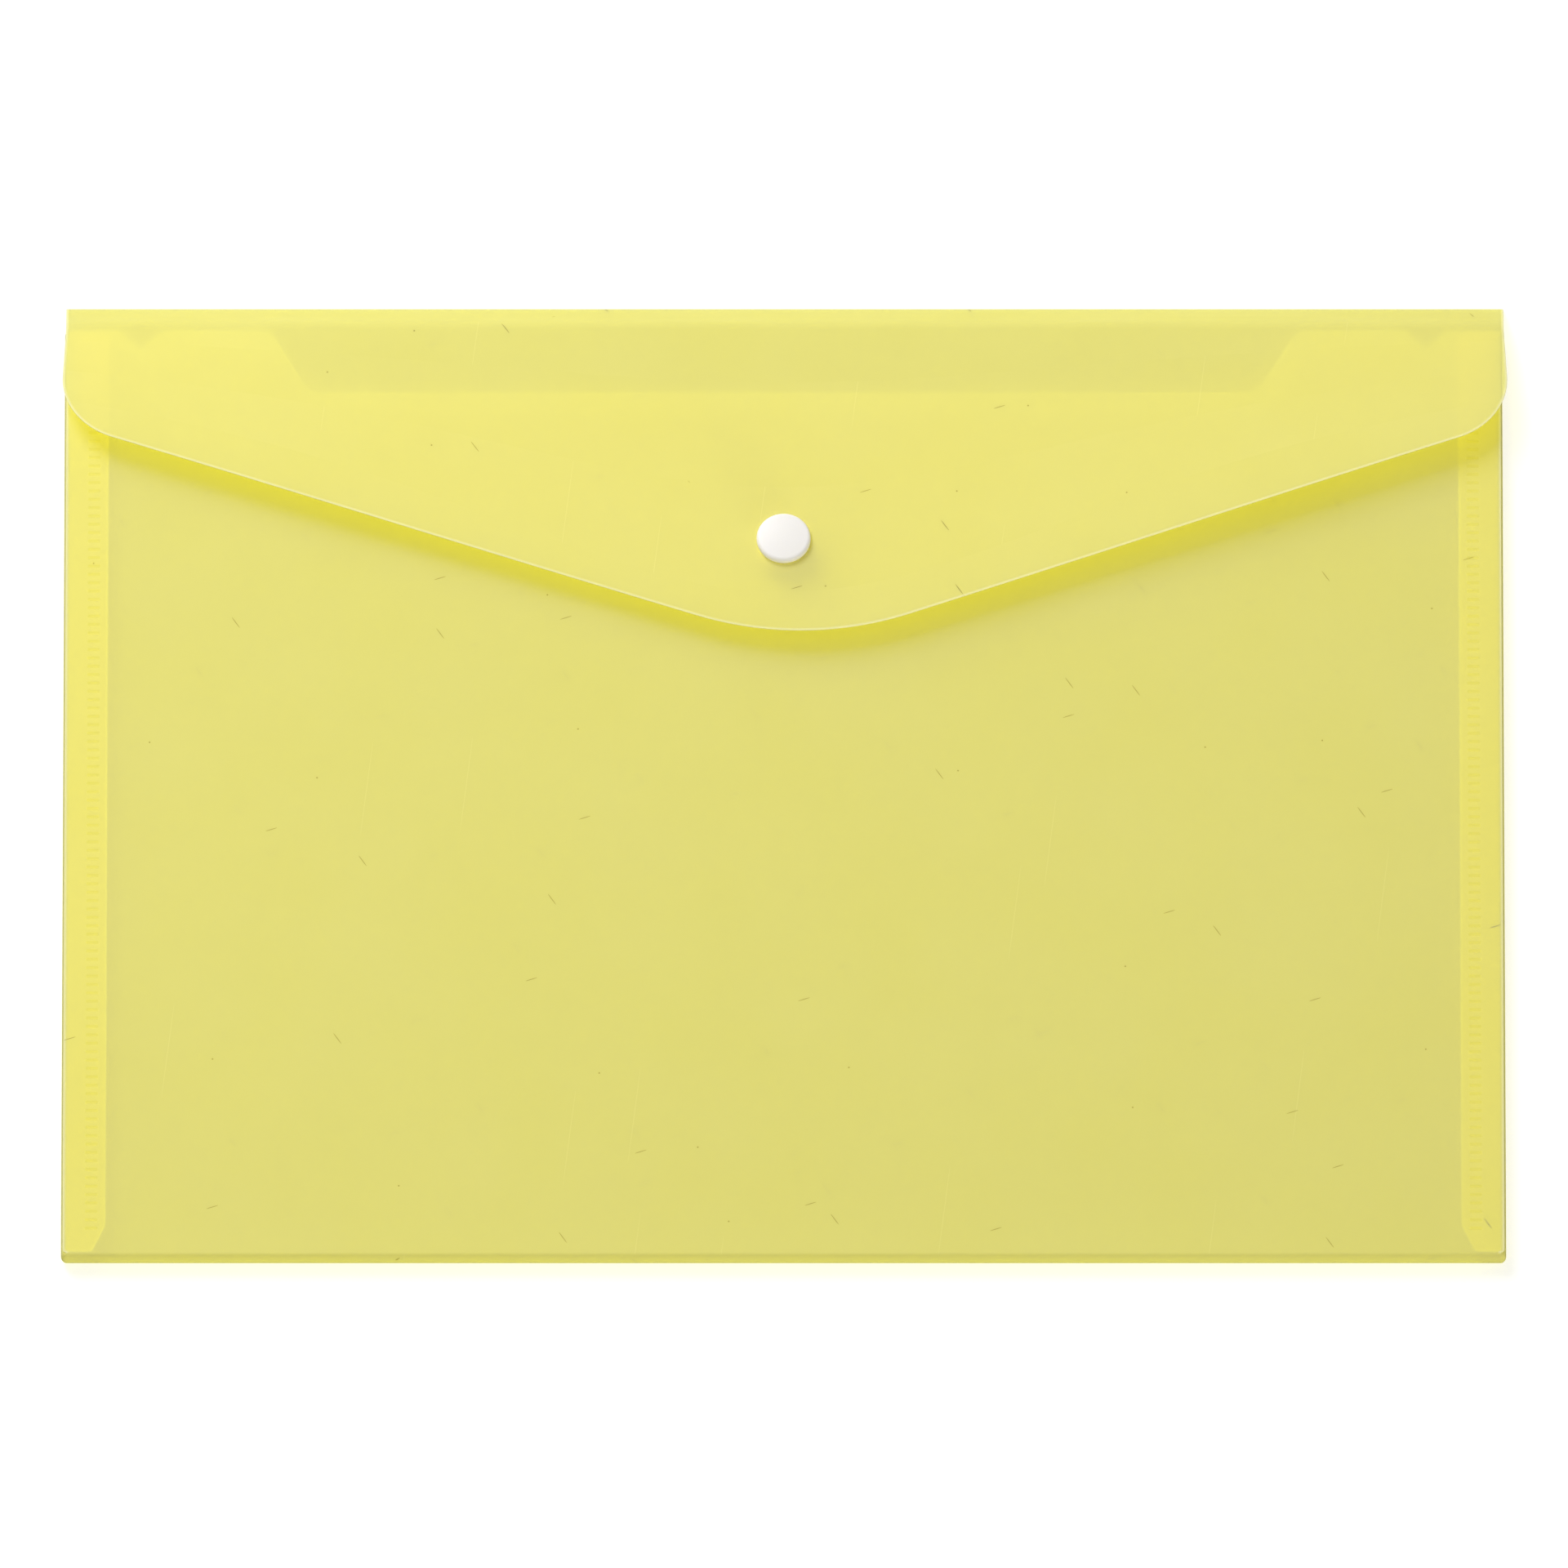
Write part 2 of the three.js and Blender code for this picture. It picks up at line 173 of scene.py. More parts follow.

# Fineness
MERGE = 0.0025  # vertices of two patches that lie this close are one
CLOSE = 0.001  # a place this close to a line counts as on it
SAME_POINT = 1e-5  # points of one patch that lie this close are one
TINY = 1e-6
SLIVER = 0.0001  # a smaller triangle is rounding error on a straight edge
INSET_MITRE = 0.5  # limits how far a sharp corner reaches when a loop is moved
EDGE_MITRE = 0.6
CREASE_STEP = 5.0
GRID_STEP = 7.0
MARK_MARGIN = 1.0  # to each side of a column of weld marks, without free points
FOLD_ROW_STEP = 0.7
BEND_ROW_STEP = 0.1
PROBE = 0.02  # step to each side of a place from which its normal is found
RIM_BANDS = (0.35, 0.7)  # lines of vertices along a cut edge
RIM_WIDTH = 0.7  # how far the painted highlight along a cut edge reaches into the sheet
ROUND_STEPS = 3
CORNER_STEPS = 4
PROFILE_STEPS = 6
SLOPE_STEPS = 8
BEND_STEPS = 12
DOME_STEPS = 14
ARC_STEPS = 16
FLAP_ARC_STEPS = 24
LATHE_STEPS = 128


def rounded_corner(before, corner, after, radius, steps):
    """Points of the arc that rounds the corner between two straight edges."""
    at = Vector(corner)
    back = (Vector(before) - at).normalized()
    forth = (Vector(after) - at).normalized()
    half_angle = back.angle(forth) / 2
    centre = at + (back + forth).normalized() * (radius / math.sin(half_angle))
    tangent = radius / math.tan(half_angle)
    start = at + back * tangent - centre
    end = at + forth * tangent - centre
    turn = math.atan2(start.x * end.y - start.y * end.x, start.dot(end))
    points = []
    for i in range(steps + 1):
        angle = turn * i / steps
        cos, sin = math.cos(angle), math.sin(angle)
        across, along = start.x * cos - start.y * sin, start.x * sin + start.y * cos
        points.append((centre.x + across, centre.y + along))
    return points


def mirrored(points):
    return [(-x, y) for x, y in reversed(points)]


def subdivided(loop, step):
    """A closed loop whose long edges are cut into even steps."""
    points = []
    for (ax, ay), (bx, by) in zip(loop, loop[1:] + loop[:1]):
        count = max(1, math.ceil(math.hypot(bx - ax, by - ay) / step - TINY))
        points += [(ax + (bx - ax) * k / count, ay + (by - ay) * k / count) for k in range(count)]
    return points


def samples(low, high, step):
    count = max(1, math.ceil((high - low) / step - TINY))
    return [low + (high - low) * k / count for k in range(count + 1)]


def inset(loop, distance):
    """The loop moved inwards, for a loop that runs anticlockwise."""
    moved = []
    for before, at, after in zip(loop[-1:] + loop[:-1], loop, loop[1:] + loop[:1]):
        into = (Vector(at) - Vector(before)).normalized()
        out = (Vector(after) - Vector(at)).normalized()
        normal = Vector((-into.y - out.y, into.x + out.x)).normalized()
        stretch = 1 / max(INSET_MITRE, normal.dot(Vector((-out.y, out.x))))
        moved.append((at[0] + normal.x * distance * stretch, at[1] + normal.y * distance * stretch))
    return moved


def inside(points, loops):
    """For each point, whether an odd number of the loops holds it."""
    odd = np.zeros(len(points), bool)
    for loop in loops:
        for (ax, ay), (bx, by) in zip(loop, loop[1:] + loop[:1]):
            if ay == by:
                continue
            spans = (ay > points[:, 1]) != (by > points[:, 1])
            odd ^= spans & (points[:, 0] < (bx - ax) * (points[:, 1] - ay) / (by - ay) + ax)
    return odd


def distances(points, loops):
    """For each point, how far it lies from the nearest edge of the loops."""
    nearest = np.full(len(points), np.inf)
    for loop in loops:
        for a, b in zip(loop, loop[1:] + loop[:1]):
            a, b = np.array(a), np.array(b)
            along = b - a
            t = np.clip((points - a) @ along / max(along @ along, TINY**2), 0, 1)
            nearest = np.minimum(nearest, np.linalg.norm(points - a - t[:, None] * along, axis=1))
    return nearest


def areas(points, triangles):
    a, b, c = (points[triangles[:, k]] for k in range(3))
    return abs((b - a)[:, 0] * (c - a)[:, 1] - (b - a)[:, 1] * (c - a)[:, 0]) / 2


def grid_points(loops, step, margin):
    """A grid of points in even triangles inside the loops, a margin away from them."""
    flat = np.array([p for loop in loops for p in loop])
    low, high = flat.min(0), flat.max(0)
    rows = samples(low[1], high[1], step * math.sin(math.pi / 3))
    points = []
    for row, y in enumerate(rows):
        shift = step / 2 if row % 2 else 0
        points += [(x + shift, y) for x in samples(low[0], high[0], step)]
    points = np.array(points)
    return points[inside(points, loops) & (distances(points, loops) > margin)]


def free_points(loops, bars):
    """Points between the lines of a patch, kept off the columns of weld marks."""
    free = grid_points(loops, GRID_STEP, GRID_STEP / 3)
    if bars:
        marked = np.array([point for bar in bars for point in bar])
        nearest = abs(marked[:, 0]).min() - MARK_MARGIN
        farthest = abs(marked[:, 0]).max() + MARK_MARGIN
        free = free[(abs(free[:, 0]) < nearest) | (abs(free[:, 0]) > farthest)]
    return free


class Sheet:
    """The middle surface of a thin sheet, made of patches that share their seams."""

    def __init__(self):
        self.places = []
        self.normals = []
        self.presses = []  # how deep the outer face is pressed in
        self.welds = []  # 1 on a weld mark, less on a sheet that is welded all along
        self.rim_highlights = []  # 1 on a cut edge, fading to 0 inside, where a highlight is painted
        self.sloping = set()  # vertices of pressed marks, whose normals come from their faces
        self.faces = []
        self.known = {}

    def vertex(self, place, normal, press=0.0, rim_highlight=0.0, weld=0.0):
        key = tuple(round(c / MERGE) for c in place)
        if key not in self.known:
            self.known[key] = len(self.places)
            self.places.append(np.array(place, float))
            self.normals.append(np.array(normal, float) / np.linalg.norm(normal))
            self.presses.append(press)
            self.rim_highlights.append(rim_highlight)
            self.welds.append(weld)
        return self.known[key]

    def face(self, corners):
        corners = list(dict.fromkeys(corners))
        if len(corners) < 3:
            return
        a, b, c = (self.places[i] for i in corners[:3])
        if np.cross(b - a, c - a) @ self.normals[corners[0]] < 0:
            corners.reverse()
        self.faces.append(corners)

    def strip(self, rows):
        """Rows of (place, normal), joined by four-sided faces."""
        indices = [[self.vertex(place, normal) for place, normal in row] for row in rows]
        for upper, lower in zip(indices, indices[1:]):
            for k in range(len(upper) - 1):
                self.face([upper[k], upper[k + 1], lower[k + 1], lower[k]])

    def patch(self, surface, loops, bars=(), seam=lambda x, y: False, weld=0.0):
        """A patch cut to loops in plan: an outline that runs anticlockwise, then holes, clockwise."""
        lines = list(loops)
        for band in RIM_BANDS:
            lines += [inset(loop, band) for loop in loops]
        floors = [inset(bar, WELD_SLOPE) for bar in bars]
        lines += [inset(bar, -WELD_SLOPE) for bar in bars]  # keeps the sheet flat up to each mark
        lines += [*bars, *floors]
        places, edges = [], []
        for line in lines:
            first = len(places)
            places += line
            edges += [(first + k, first + (k + 1) % len(line)) for k in range(len(line))]
        vectors = [Vector(place) for place in [*places, *free_points(loops, bars)]]
        found = geometry.delaunay_2d_cdt(vectors, edges, [], 0, SAME_POINT, True)
        points = np.array([tuple(v) for v in found[0]])
        triangles = np.array([tuple(f) for f in found[2]])
        kept = inside(points[triangles].mean(1), loops) & (areas(points, triangles) > SLIVER)
        triangles = triangles[kept]
        cut_edges = [
            [a, b]
            for loop in loops
            for a, b in zip(loop, loop[1:] + loop[:1])
            if not seam((a[0] + b[0]) / 2, (a[1] + b[1]) / 2)
        ]
        # a painted highlight along the cut edges, fading over RIM_WIDTH
        rim_highlights = np.clip(1 - distances(points, cut_edges) / RIM_WIDTH, 0, 1)
        floor_start = len(places) - sum(len(floor) for floor in floors)
        wall_start = floor_start - sum(len(bar) for bar in bars)
        indices = []
        for (x, y), rim_highlight, sources in zip(points, rim_highlights, found[3]):
            sunk = any(floor_start <= k < len(places) for k in sources)
            press, mark = (WELD_PRESS, 1.0) if sunk else (0.0, weld)
            indices.append(self.vertex(*surface(x, y), press, rim_highlight, mark))
            if any(wall_start <= k < len(places) for k in sources):
                self.sloping.add(indices[-1])
        for triangle in triangles:
            self.face([indices[k] for k in triangle])

    def border(self, seam):
        """Directed edges that only one face has, without those whose ends both lie on an open seam."""
        used = {}
        for face in self.faces:
            for a, b in zip(face, face[1:] + face[:1]):
                used[a, b] = used.get((a, b), 0) + 1
        edges = [(a, b) for a, b in used if (b, a) not in used]
        return [(a, b) for a, b in edges if not (seam(self.places[a]) and seam(self.places[b]))]

    def outward(self, border):
        """For each vertex of the border, the way out in the plane of the sheet, longer at corners."""
        ways = {}
        for a, b in border:
            along = self.places[b] - self.places[a]
            for k in (a, b):
                way = np.cross(along, self.normals[k])
                ways.setdefault(k, []).append(way / np.linalg.norm(way))
        mitres = {}
        for k, found in ways.items():
            total = sum(found)
            total /= np.linalg.norm(total)
            mitres[k] = total / max(EDGE_MITRE, total @ found[0])
        return mitres

    def solid(self, name, seam):
        """The sheet at its full thickness, with rounded cut edges, as an object of the scene."""
        places, normals = np.array(self.places), np.array(self.normals)
        count = len(places)
        over = places + normals * (HALF_SHEET - np.array(self.presses))[:, None]
        under = places - normals * HALF_SHEET
        rim_highlights = [*self.rim_highlights, *self.rim_highlights]
        welds = [*self.welds, *self.welds]
        faces = [list(face) for face in self.faces]
        faces += [[count + k for k in reversed(face)] for face in self.faces]
        border = self.border(seam)
        rings, extra, extra_normals = {}, [], []
        for k, way in self.outward(border).items():
            over[k] -= way * HALF_SHEET
            under[k] -= way * HALF_SHEET
            ring = [k]
            for step in range(1, ROUND_STEPS + 1):
                angle = math.pi * (0.5 - step / (ROUND_STEPS + 1))
                ring.append(2 * count + len(extra))
                turned = way * math.cos(angle) + normals[k] * math.sin(angle)
                extra.append(places[k] + (turned - way) * HALF_SHEET)
                extra_normals.append(turned)
            ring.append(count + k)
            rings[k] = ring
            # the rounded edge carries the full painted highlight
            rim_highlights[k] = rim_highlights[count + k] = 1.0
        for a, b in border:
            for s in range(ROUND_STEPS + 1):
                faces.append([rings[a][s], rings[a][s + 1], rings[b][s + 1], rings[b][s]])
        piece = mesh_object(name, np.vstack([over, under, extra]), faces)
        shading = np.vstack([normals, -normals, extra_normals])
        shading[list(self.sloping)] = 0
        piece.data.normals_split_custom_set_from_vertices(shading.tolist())
        rim_highlights += [1.0] * len(extra)
        welds += [0.0] * len(extra)
        for label, values in (("rim_highlight", rim_highlights), ("weld", welds)):
            piece.data.attributes.new(label, "FLOAT", "POINT").data.foreach_set("value", values)
        return piece


def mesh_object(name, places, faces):
    """A smooth object of the scene from places in millimetres."""
    mesh = bpy.data.meshes.new(name)
    mesh.from_pydata([tuple(float(c) * MM for c in place) for place in places], [], faces)
    mesh.shade_smooth()
    mesh.validate()
    piece = bpy.data.objects.new(name, mesh)
    bpy.context.scene.collection.objects.link(piece)
    return piece


# Pouch


def half_ellipse(height):
    """(bulge, height, normal) along the middle of the sheet of a fold under a panel at a height."""
    rows = []
    centre = height / 2
    for angle in samples(-math.pi / 2, math.pi / 2, math.pi / ARC_STEPS):
        out, up = math.cos(angle), math.sin(angle)
        wide, tall = FOLD_DEPTH - HALF_SHEET, centre - HALF_SHEET
        rows.append((wide * out, centre + tall * up, (out * tall, up * wide)))
    return rows


def fold_columns():
    """Places along X that the bottom fold shares with the panels."""
    right = [*samples(0, PANEL_HALF - RIM_WIDTH, CREASE_STEP), PANEL_HALF]
    return [-x for x in reversed(right[1:])] + right


def side_columns():
    """Places along Y that a side fold shares with its side flap."""
    return [SIDE_LOW.y, *samples(SIDE_LOW.y + RIM_WIDTH, TAB_TOP - RIM_WIDTH, CREASE_STEP), TAB_TOP]


def back_panel(sheet):
    lower = [(x, PANEL_BOTTOM) for x in fold_columns()]
    side = [(PANEL_HALF, y) for y in side_columns()]
    upper = [(x, LOWER_CREASE.y - SEAM_RUN) for x in crease_columns()]
    ear = TAB_TOP + EAR_RELIEF
    right_ear = [(PANEL_HALF, ear), (upper[-1][0], ear)]
    left_ear = [(upper[0][0], ear), (-PANEL_HALF, ear)]
    outline = [*lower, *side, *right_ear, *reversed(upper), *left_ear, *mirrored(side)]

    def shared(x, y):
        on_fold = y < PANEL_BOTTOM + CLOSE
        on_side = abs(abs(x) - PANEL_HALF) < CLOSE and y < TAB_TOP
        return on_fold or on_side or y > LOWER_CREASE.y - SEAM_RUN - CLOSE

    sheet.patch(lambda x, y: ((x, y, BACK_LOW.z + HALF_SHEET), (0, 0, -1)), [outline], seam=shared)


def bottom_fold(sheet):
    """The fold under the panels, and the round corners where it meets the side folds."""
    profile = half_ellipse(FRONT_HIGH.z)
    sheet.strip([
        [((x, PANEL_BOTTOM - bulge, height), (0, -out, up)) for x in fold_columns()]
        for bulge, height, (out, up) in profile
    ])
    for side in (-1, 1):
        corner = side * PANEL_HALF
        turns = samples(0, math.pi / 2, math.pi / ARC_STEPS)
        ways = [(side * math.sin(turn), -math.cos(turn)) for turn in turns]
        rows = []
        for bulge, height, (out, up) in profile:
            places = [(corner + bulge * x, PANEL_BOTTOM + bulge * y, height) for x, y in ways]
            rows.append([(place, (out * x, out * y, up)) for place, (x, y) in zip(places, ways)])
        sheet.strip(rows)


def weld_bar(x, y):
    """Outline of one mark, with its corners cut."""
    a, b, c = WELD_LENGTH / 2, WELD_BREADTH / 2, WELD_BREADTH / 4
    quarter = [(a, b - c), (a - c, b)]
    half = quarter + [(-p, q) for p, q in reversed(quarter)]
    return [(x + p, y + q) for p, q in half] + [(x - p, y - q) for p, q in half]


def weld_bars():
    lowest = PANEL_BOTTOM + WELD_END_MARGIN
    count = math.floor((TAB_TOP - NOTCH_DEPTH - WELD_END_MARGIN - lowest) / WELD_PITCH)
    return [
        weld_bar(side * (OUTSIDE - WELD_INSET), lowest + (i + 0.5) * WELD_PITCH)
        for side in (-1, 1)
        for i in range(count)
    ]


def front_panel(sheet):
    mouth = LOWER_CREASE.y - MOUTH_DROP
    slope_top = (OUTSIDE - TAB_WIDTH, TAB_TOP)
    slope_foot = (OUTSIDE - TAB_WIDTH - SLOPE_RUN, mouth)
    notch = OUTSIDE - NOTCH_INSET
    corner = (CUT_HALF, PANEL_BOTTOM)
    right = [
        *rounded_corner((0, PANEL_BOTTOM), corner, (CUT_HALF, 0), PANEL_CORNER, CORNER_STEPS),
        (CUT_HALF, TAB_TOP),
        (notch + NOTCH_HALF_WIDTH, TAB_TOP),
        (notch, TAB_TOP - NOTCH_DEPTH),
        (notch - NOTCH_HALF_WIDTH, TAB_TOP),
        *rounded_corner((OUTSIDE, TAB_TOP), slope_top, slope_foot, SLOPE_RADIUS, SLOPE_STEPS),
        *rounded_corner(slope_top, slope_foot, (0, mouth), SLOPE_RADIUS, SLOPE_STEPS),
    ]
    lower = [(x, PANEL_BOTTOM) for x in fold_columns()]
    outline = subdivided([*lower, *right, *mirrored(right)], 2 * CREASE_STEP)
    middle = FRONT_LOW.z + HALF_SHEET

    def shared(x, y):
        return y < PANEL_BOTTOM + CLOSE

    sheet.patch(lambda x, y: ((x, y, middle), (0, 0, 1)), [outline], weld_bars(), seam=shared)


def side_fold(sheet, side):
    """A side fold, as high as the bottom fold at its lower end and as the side flap above it."""
    rows = []
    for corner, profile in zip(half_ellipse(FRONT_HIGH.z), half_ellipse(FRONT_LOW.z)):
        columns = [(PANEL_BOTTOM, corner), *((y, profile) for y in side_columns())]
        row = []
        for y, (bulge, height, (out, up)) in columns:
            row.append(((side * (PANEL_HALF + bulge), y, height), (side * out, 0, up)))
        rows.append(row)
    sheet.strip(rows)


def side_flap(sheet, side):
    outline = [
        *((PANEL_HALF, y) for y in side_columns()),
        (SIDE_LOW.x, TAB_TOP),
        (SIDE_LOW.x, SIDE_LOW.y + CHAMFER_RISE),
        (SIDE_LOW.x + CHAMFER_RUN, SIDE_LOW.y),
    ]
    middle = FRONT_LOW.z - HALF_SHEET

    def shared(x, y):
        return abs(x) > PANEL_HALF - CLOSE

    outline = outline if side > 0 else mirrored(outline)
    sheet.patch(lambda x, y: ((x, y, middle), (0, 0, 1)), [outline], seam=shared, weld=SIDE_WELD)


def pouch_sheet():
    sheet = Sheet()
    back_panel(sheet)
    bottom_fold(sheet)
    front_panel(sheet)
    for side in (-1, 1):
        side_fold(sheet, side)
        side_flap(sheet, side)

    def seam(place):
        in_corner = place[1] < SIDE_LOW.y + MERGE and abs(abs(place[0]) - PANEL_HALF) < MERGE
        return place[1] > LOWER_CREASE.y - SEAM_RUN - MERGE or in_corner

    piece = sheet.solid("pouch_sheet", seam)
    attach(piece, "pouch")
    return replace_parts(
        piece,
        "back_panel",
        "bottom_fold",
        "front_panel",
        "left_side_fold",
        "right_side_fold",
        "left_side_flap",
        "right_side_flap",
    )


# Top fold and flap

CREASE_SPAN = math.dist(LOWER_CREASE[1:], UPPER_CREASE[1:])
TOP_FOLD_WAY = (UPPER_CREASE - LOWER_CREASE).normalized()
TOP_FOLD_OUT = Vector((0, TOP_FOLD_WAY.z, -TOP_FOLD_WAY.y))
BOW_PEAK = 4 / 27  # of t (1 - t)², the shape of the bow
BOW_START = FOLD_BOW / BOW_PEAK / (CREASE_SPAN - UPPER_TANGENT)  # slope of the bow at the lower crease


def crease_columns():
    right = [*samples(0, CREASE_HALF - RIM_WIDTH, CREASE_STEP), CREASE_HALF]
    return [CREASE_SHIFT + x for x in [-x for x in reversed(right[1:])] + right]


def fold_place(run):
    """A place on the top fold at a run from the lower crease, where the bow is steepest."""
    share = run / (CREASE_SPAN - UPPER_TANGENT)
    return LOWER_CREASE + TOP_FOLD_WAY * run + TOP_FOLD_OUT * (BOW_START * run * (1 - share) ** 2)


def facing(surface, x, run):
    """Place and normal of a surface of X and run, from short steps each way."""
    place = surface(x, run)
    across = surface(x + PROBE, run) - surface(x - PROBE, run)
    along = surface(x, run + PROBE) - surface(x, run - PROBE)
    return place, across.cross(along)


def lower_crease_strip():
    """The bend at the lower crease, from the back panel to the top fold."""
    turn = math.pi - math.atan2(TOP_FOLD_WAY.z, -TOP_FOLD_WAY.y) - math.atan(BOW_START)
    tangent = LOWER_ROUND * math.tan(turn / 2)
    start = LOWER_CREASE.y - tangent
    profile = [((LOWER_CREASE.y - SEAM_RUN, LOWER_CREASE.z), (0, -1))]
    for angle in samples(0, turn, turn / BEND_STEPS):
        out, up = math.sin(angle), -math.cos(angle)
        profile.append(((start + LOWER_ROUND * out, LOWER_CREASE.z + LOWER_ROUND * (1 + up)), (out, up)))
    end = fold_place(SEAM_RUN)
    along = fold_place(SEAM_RUN + MERGE) - fold_place(SEAM_RUN - MERGE)
    profile.append(((end.y, end.z), (along.z, -along.y)))
    sheet = Sheet()
    sheet.strip([[((x, y, z), (0, *n)) for x in crease_columns()] for (y, z), n in profile])
    low, high = LOWER_CREASE.y - SEAM_RUN, end.z

    def seam(place):
        return place[1] < low + CLOSE or place[2] > high - CLOSE

    piece = sheet.solid("lower_crease_strip", seam)
    way = (Vector((0, 1, 0)) + TOP_FOLD_WAY).normalized() * LOWER_BLEND
    start, end = LOWER_CREASE - way, LOWER_CREASE + way
    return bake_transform(piece)


def flap_rise(x):
    return FLAP_MIDDLE_RISE + (FLAP_SIDE_RISE - FLAP_MIDDLE_RISE) * (x / FLAP_SIDE_HALF) ** 2


def flap_place(x, run):
    """A place on the middle of the sheet, at a run from the upper crease, negative on the top fold."""
    rise = flap_rise(x)
    crease = Vector((x, UPPER_CREASE.y, UPPER_CREASE.z))
    forward = Vector((0, -math.cos(rise), math.sin(rise)))
    if run >= UPPER_TANGENT:
        return crease + forward * run
    if run <= -UPPER_TANGENT:
        return Vector((x, 0, 0)) + fold_place(CREASE_SPAN + run)
    t = (run / UPPER_TANGENT + 1) / 2
    before, after = TOP_FOLD_WAY * -UPPER_TANGENT, forward * UPPER_TANGENT
    return crease + before * (1 - t) ** 2 + after * t**2


def flap_facing(x, run):
    place, normal = facing(flap_place, x, run)
    return place, -normal


def flap_outline():
    """The flap as cut flat, in X and minus the run from the crease, anticlockwise from its left end."""
    left = (CREASE_SHIFT - FLAP_SIDE_HALF, -FLAP_SIDE_DEPTH)
    right = (CREASE_SHIFT + FLAP_SIDE_HALF, -FLAP_SIDE_DEPTH)
    point = (FLAP_POINT_OFFSET, -FLAP_POINT_DEPTH)
    ends = [(CREASE_SHIFT + side * CREASE_HALF, 0) for side in (-1, 1)]
    edge = [
        *rounded_corner(ends[0], left, point, FLAP_CORNER_RADIUS, FLAP_ARC_STEPS),
        *rounded_corner(left, point, right, FLAP_TIP_RADIUS, FLAP_ARC_STEPS),
        *rounded_corner(point, right, ends[1], FLAP_CORNER_RADIUS, FLAP_ARC_STEPS),
    ]
    crease = [(x, -UPPER_TANGENT) for x in reversed(crease_columns())]
    return subdivided([crease[-1], *edge, *crease[:-1]], CREASE_STEP)


def flap_sheet():
    """The flap, the bend at the upper crease and the top fold, in one sheet."""
    sheet = Sheet()
    hole = [
        (HOLE_RADIUS * math.cos(a), HOLE_RADIUS * math.sin(a) - SNAP_FROM_CREASE)
        for a in reversed(samples(0, 2 * math.pi, 2 * math.pi / FLAP_ARC_STEPS)[1:])
    ]
    sheet.patch(
        lambda x, y: flap_facing(x, -y),
        [flap_outline(), hole],
        seam=lambda x, y: y > -UPPER_TANGENT - CLOSE,
    )
    runs = samples(SEAM_RUN - CREASE_SPAN, -UPPER_TANGENT, FOLD_ROW_STEP)
    runs += samples(-UPPER_TANGENT, UPPER_TANGENT, BEND_ROW_STEP)[1:]
    sheet.strip([[flap_facing(x, run) for x in crease_columns()] for run in runs])
    seam_height = fold_place(SEAM_RUN).z
    piece = sheet.solid("flap_sheet", lambda place: place[2] < seam_height + CLOSE)
    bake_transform(piece)
    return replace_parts(piece, "top_fold", "flap")


# Press snap


def rounded_profile(corners):
    """(radius, height) points of a profile, from its corners, each (radius, height, rounding)."""
    points = []
    for k, (radius, height, rounding) in enumerate(corners):
        before, after = corners[k - 1][:2], corners[(k + 1) % len(corners)][:2]
        if rounding:
            points += rounded_corner(before, (radius, height), after, rounding, PROFILE_STEPS)
        else:
            points.append((radius, height))
    return points


def turned(name, profile, place, tilt, body, node):
    """A round piece about its own Z axis, which stands for a node and rides with its body."""
    cos, sin = math.cos(tilt), math.sin(tilt)
    rings, vertices = [], []
    for radius, height in profile:
        steps = LATHE_STEPS if radius > TINY else 1
        rings.append([len(vertices) + k for k in range(steps)])
        for k in range(steps):
            angle = 2 * math.pi * k / steps
            x, y = radius * math.cos(angle), radius * math.sin(angle)
            back, up = y * cos - height * sin, y * sin + height * cos
            vertices.append((place.x + x, place.y + back, place.z + up))
    closed = profile[0][0] > TINY
    faces = []
    for a, b in zip(rings, rings[1:] + (rings[:1] if closed else [])):
        for k in range(LATHE_STEPS):
            corners = [a[k % len(a)], a[(k + 1) % len(a)], b[(k + 1) % len(b)], b[k % len(b)]]
            faces.append(list(dict.fromkeys(corners)))
    piece = mesh_object(name, vertices, faces)
    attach(piece, body)
    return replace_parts(piece, node)


def cap_profile(post_length):
    """From the rivet head at the end of the post up to the middle of the dome."""
    shoulder = CAP_RADIUS - CAP_EDGE_ROUND
    head = RIVET_HEIGHT - post_length
    body = [
        (0, -post_length, 0),
        (RIVET_RADIUS, -post_length, SMALL_ROUND),
        (RIVET_RADIUS, head, SMALL_ROUND),
        (POST_RADIUS, head, 0),
        (POST_RADIUS, 0, 0),
        (CAP_RADIUS, 0, CAP_FOOT_ROUND),
    ]
    edge = rounded_profile([*body, (CAP_RADIUS, CAP_RIM, 0)])[:-1]
    arc = [
        (shoulder + CAP_EDGE_ROUND * math.cos(a), CAP_RIM - CAP_EDGE_ROUND * (1 - math.sin(a)))
        for a in samples(0, math.pi / 2, math.pi / ARC_STEPS)
    ]
    dome = []
    for share in samples(0, 1, 1 / DOME_STEPS)[1:]:
        radius = shoulder * (1 - share)
        dome.append((radius, CAP_RIM + CAP_DOME * (1 - (radius / shoulder) ** 2)))
    return [*edge, *arc, *dome]


